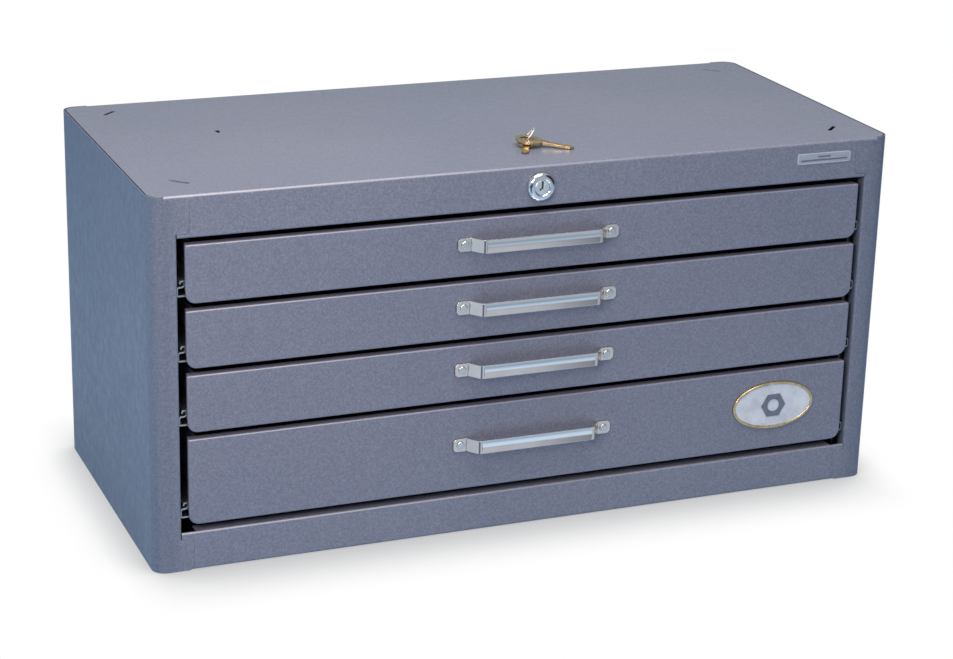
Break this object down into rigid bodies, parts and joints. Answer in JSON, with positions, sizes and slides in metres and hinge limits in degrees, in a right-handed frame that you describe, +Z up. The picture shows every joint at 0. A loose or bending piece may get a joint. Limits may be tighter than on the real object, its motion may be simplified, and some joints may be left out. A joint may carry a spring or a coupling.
{
  "type": "bench-top drawer cabinet",
  "caption": "Small steel bench-top cabinet with sliding drawers, fixed strip pulls, a barrel lock in the top rail and loose keys on top",
  "frame": {"origin": "centre of the rectangle that the case stands on, in the plane of its underside", "axes": "+X to the right of someone facing the drawers, +Y from the drawer fronts to the back, +Z up"},
  "size_m": [0.606, 0.2856, 0.3049],
  "materials": {
    "case_paint": "grey baked enamel, light orange peel",
    "drawer_paint": "grey baked enamel, light orange peel",
    "zinc": "bright zinc plate",
    "pull_zinc": "bright zinc plate",
    "rivet": "zinc plate",
    "chrome": "polished",
    "plug": "satin",
    "steel": "plain steel",
    "brass": "worn",
    "gilt": "satin",
    "badge": "satin cream",
    "label": "brushed"
  },
  "bodies": {
    "case": {"top_panel": "case_paint", "left_side_panel": "case_paint", "right_side_panel": "case_paint", "bottom_panel": "case_paint", "back_panel": "case_paint", "left_front_post": "steel", "left_rear_post": "steel", "right_front_post": "steel", "right_rear_post": "steel", "lock_housing": "chrome", "lock_nut": "steel", "rod_bracket": "steel", "lock_bar_guides": "steel", "label_plate": "label", "left_rail_4": "zinc", "right_rail_4": "zinc", "left_rail_3": "zinc", "right_rail_3": "zinc", "left_rail_2": "zinc", "right_rail_2": "zinc", "left_rail_1": "zinc", "right_rail_1": "zinc"},
    "drawer_1": {"drawer_1_front": "drawer_paint", "drawer_1_box": "drawer_paint", "drawer_1_pull": "pull_zinc", "drawer_1_rivets": "rivet", "drawer_1_catch": "steel", "drawer_1_left_runner": "zinc", "drawer_1_right_runner": "zinc"},
    "drawer_2": {"drawer_2_front": "drawer_paint", "drawer_2_box": "drawer_paint", "drawer_2_pull": "pull_zinc", "drawer_2_rivets": "rivet", "drawer_2_catch": "steel", "drawer_2_left_runner": "zinc", "drawer_2_right_runner": "zinc"},
    "drawer_3": {"drawer_3_front": "drawer_paint", "drawer_3_box": "drawer_paint", "drawer_3_pull": "pull_zinc", "drawer_3_rivets": "rivet", "drawer_3_catch": "steel", "drawer_3_left_runner": "zinc", "drawer_3_right_runner": "zinc"},
    "drawer_4": {"drawer_4_front": "drawer_paint", "drawer_4_box": "drawer_paint", "drawer_4_pull": "pull_zinc", "drawer_4_rivets": "rivet", "drawer_4_catch": "steel", "drawer_4_left_runner": "zinc", "drawer_4_right_runner": "zinc", "badge_rim": "gilt", "badge_face": "badge"},
    "lock_cylinder": {"lock_plug": "plug", "lock_rod": "steel", "lock_crank": "steel"},
    "lock_bar": {"lock_bar": "steel", "lock_hooks": "steel"},
    "keys": {"key_1": "brass", "key_2": "brass", "key_ring": "steel"}
  },
  "joints": [
    {"name": "drawer_1_slide", "type": "slide", "parent": "case", "child": "drawer_1", "axis": [0, -1, 0], "range_m": [0, 0.19]},
    {"name": "drawer_2_slide", "type": "slide", "parent": "case", "child": "drawer_2", "axis": [0, -1, 0], "range_m": [0, 0.19]},
    {"name": "drawer_3_slide", "type": "slide", "parent": "case", "child": "drawer_3", "axis": [0, -1, 0], "range_m": [0, 0.19]},
    {"name": "drawer_4_slide", "type": "slide", "parent": "case", "child": "drawer_4", "axis": [0, -1, 0], "range_m": [0, 0.19]},
    {"name": "lock_turn", "type": "hinge", "parent": "case", "child": "lock_cylinder", "pos_m": [0, -0.137, 0.2757], "axis": [0, 1, 0], "range_deg": [0, 90]},
    {"name": "lock_bar_slide", "type": "slide", "parent": "case", "child": "lock_bar", "axis": [0, 0, -1], "range_m": [0, 0.00989]},
    {"name": "keys_lift", "type": "slide", "parent": "case", "child": "keys", "axis": [0, 0, 1], "range_m": [0, 0.08]}
  ],
  "couplings": [
    {"joint": "lock_turn", "follows": "lock_bar_slide", "rad_per_m": 158.7}
  ]
}
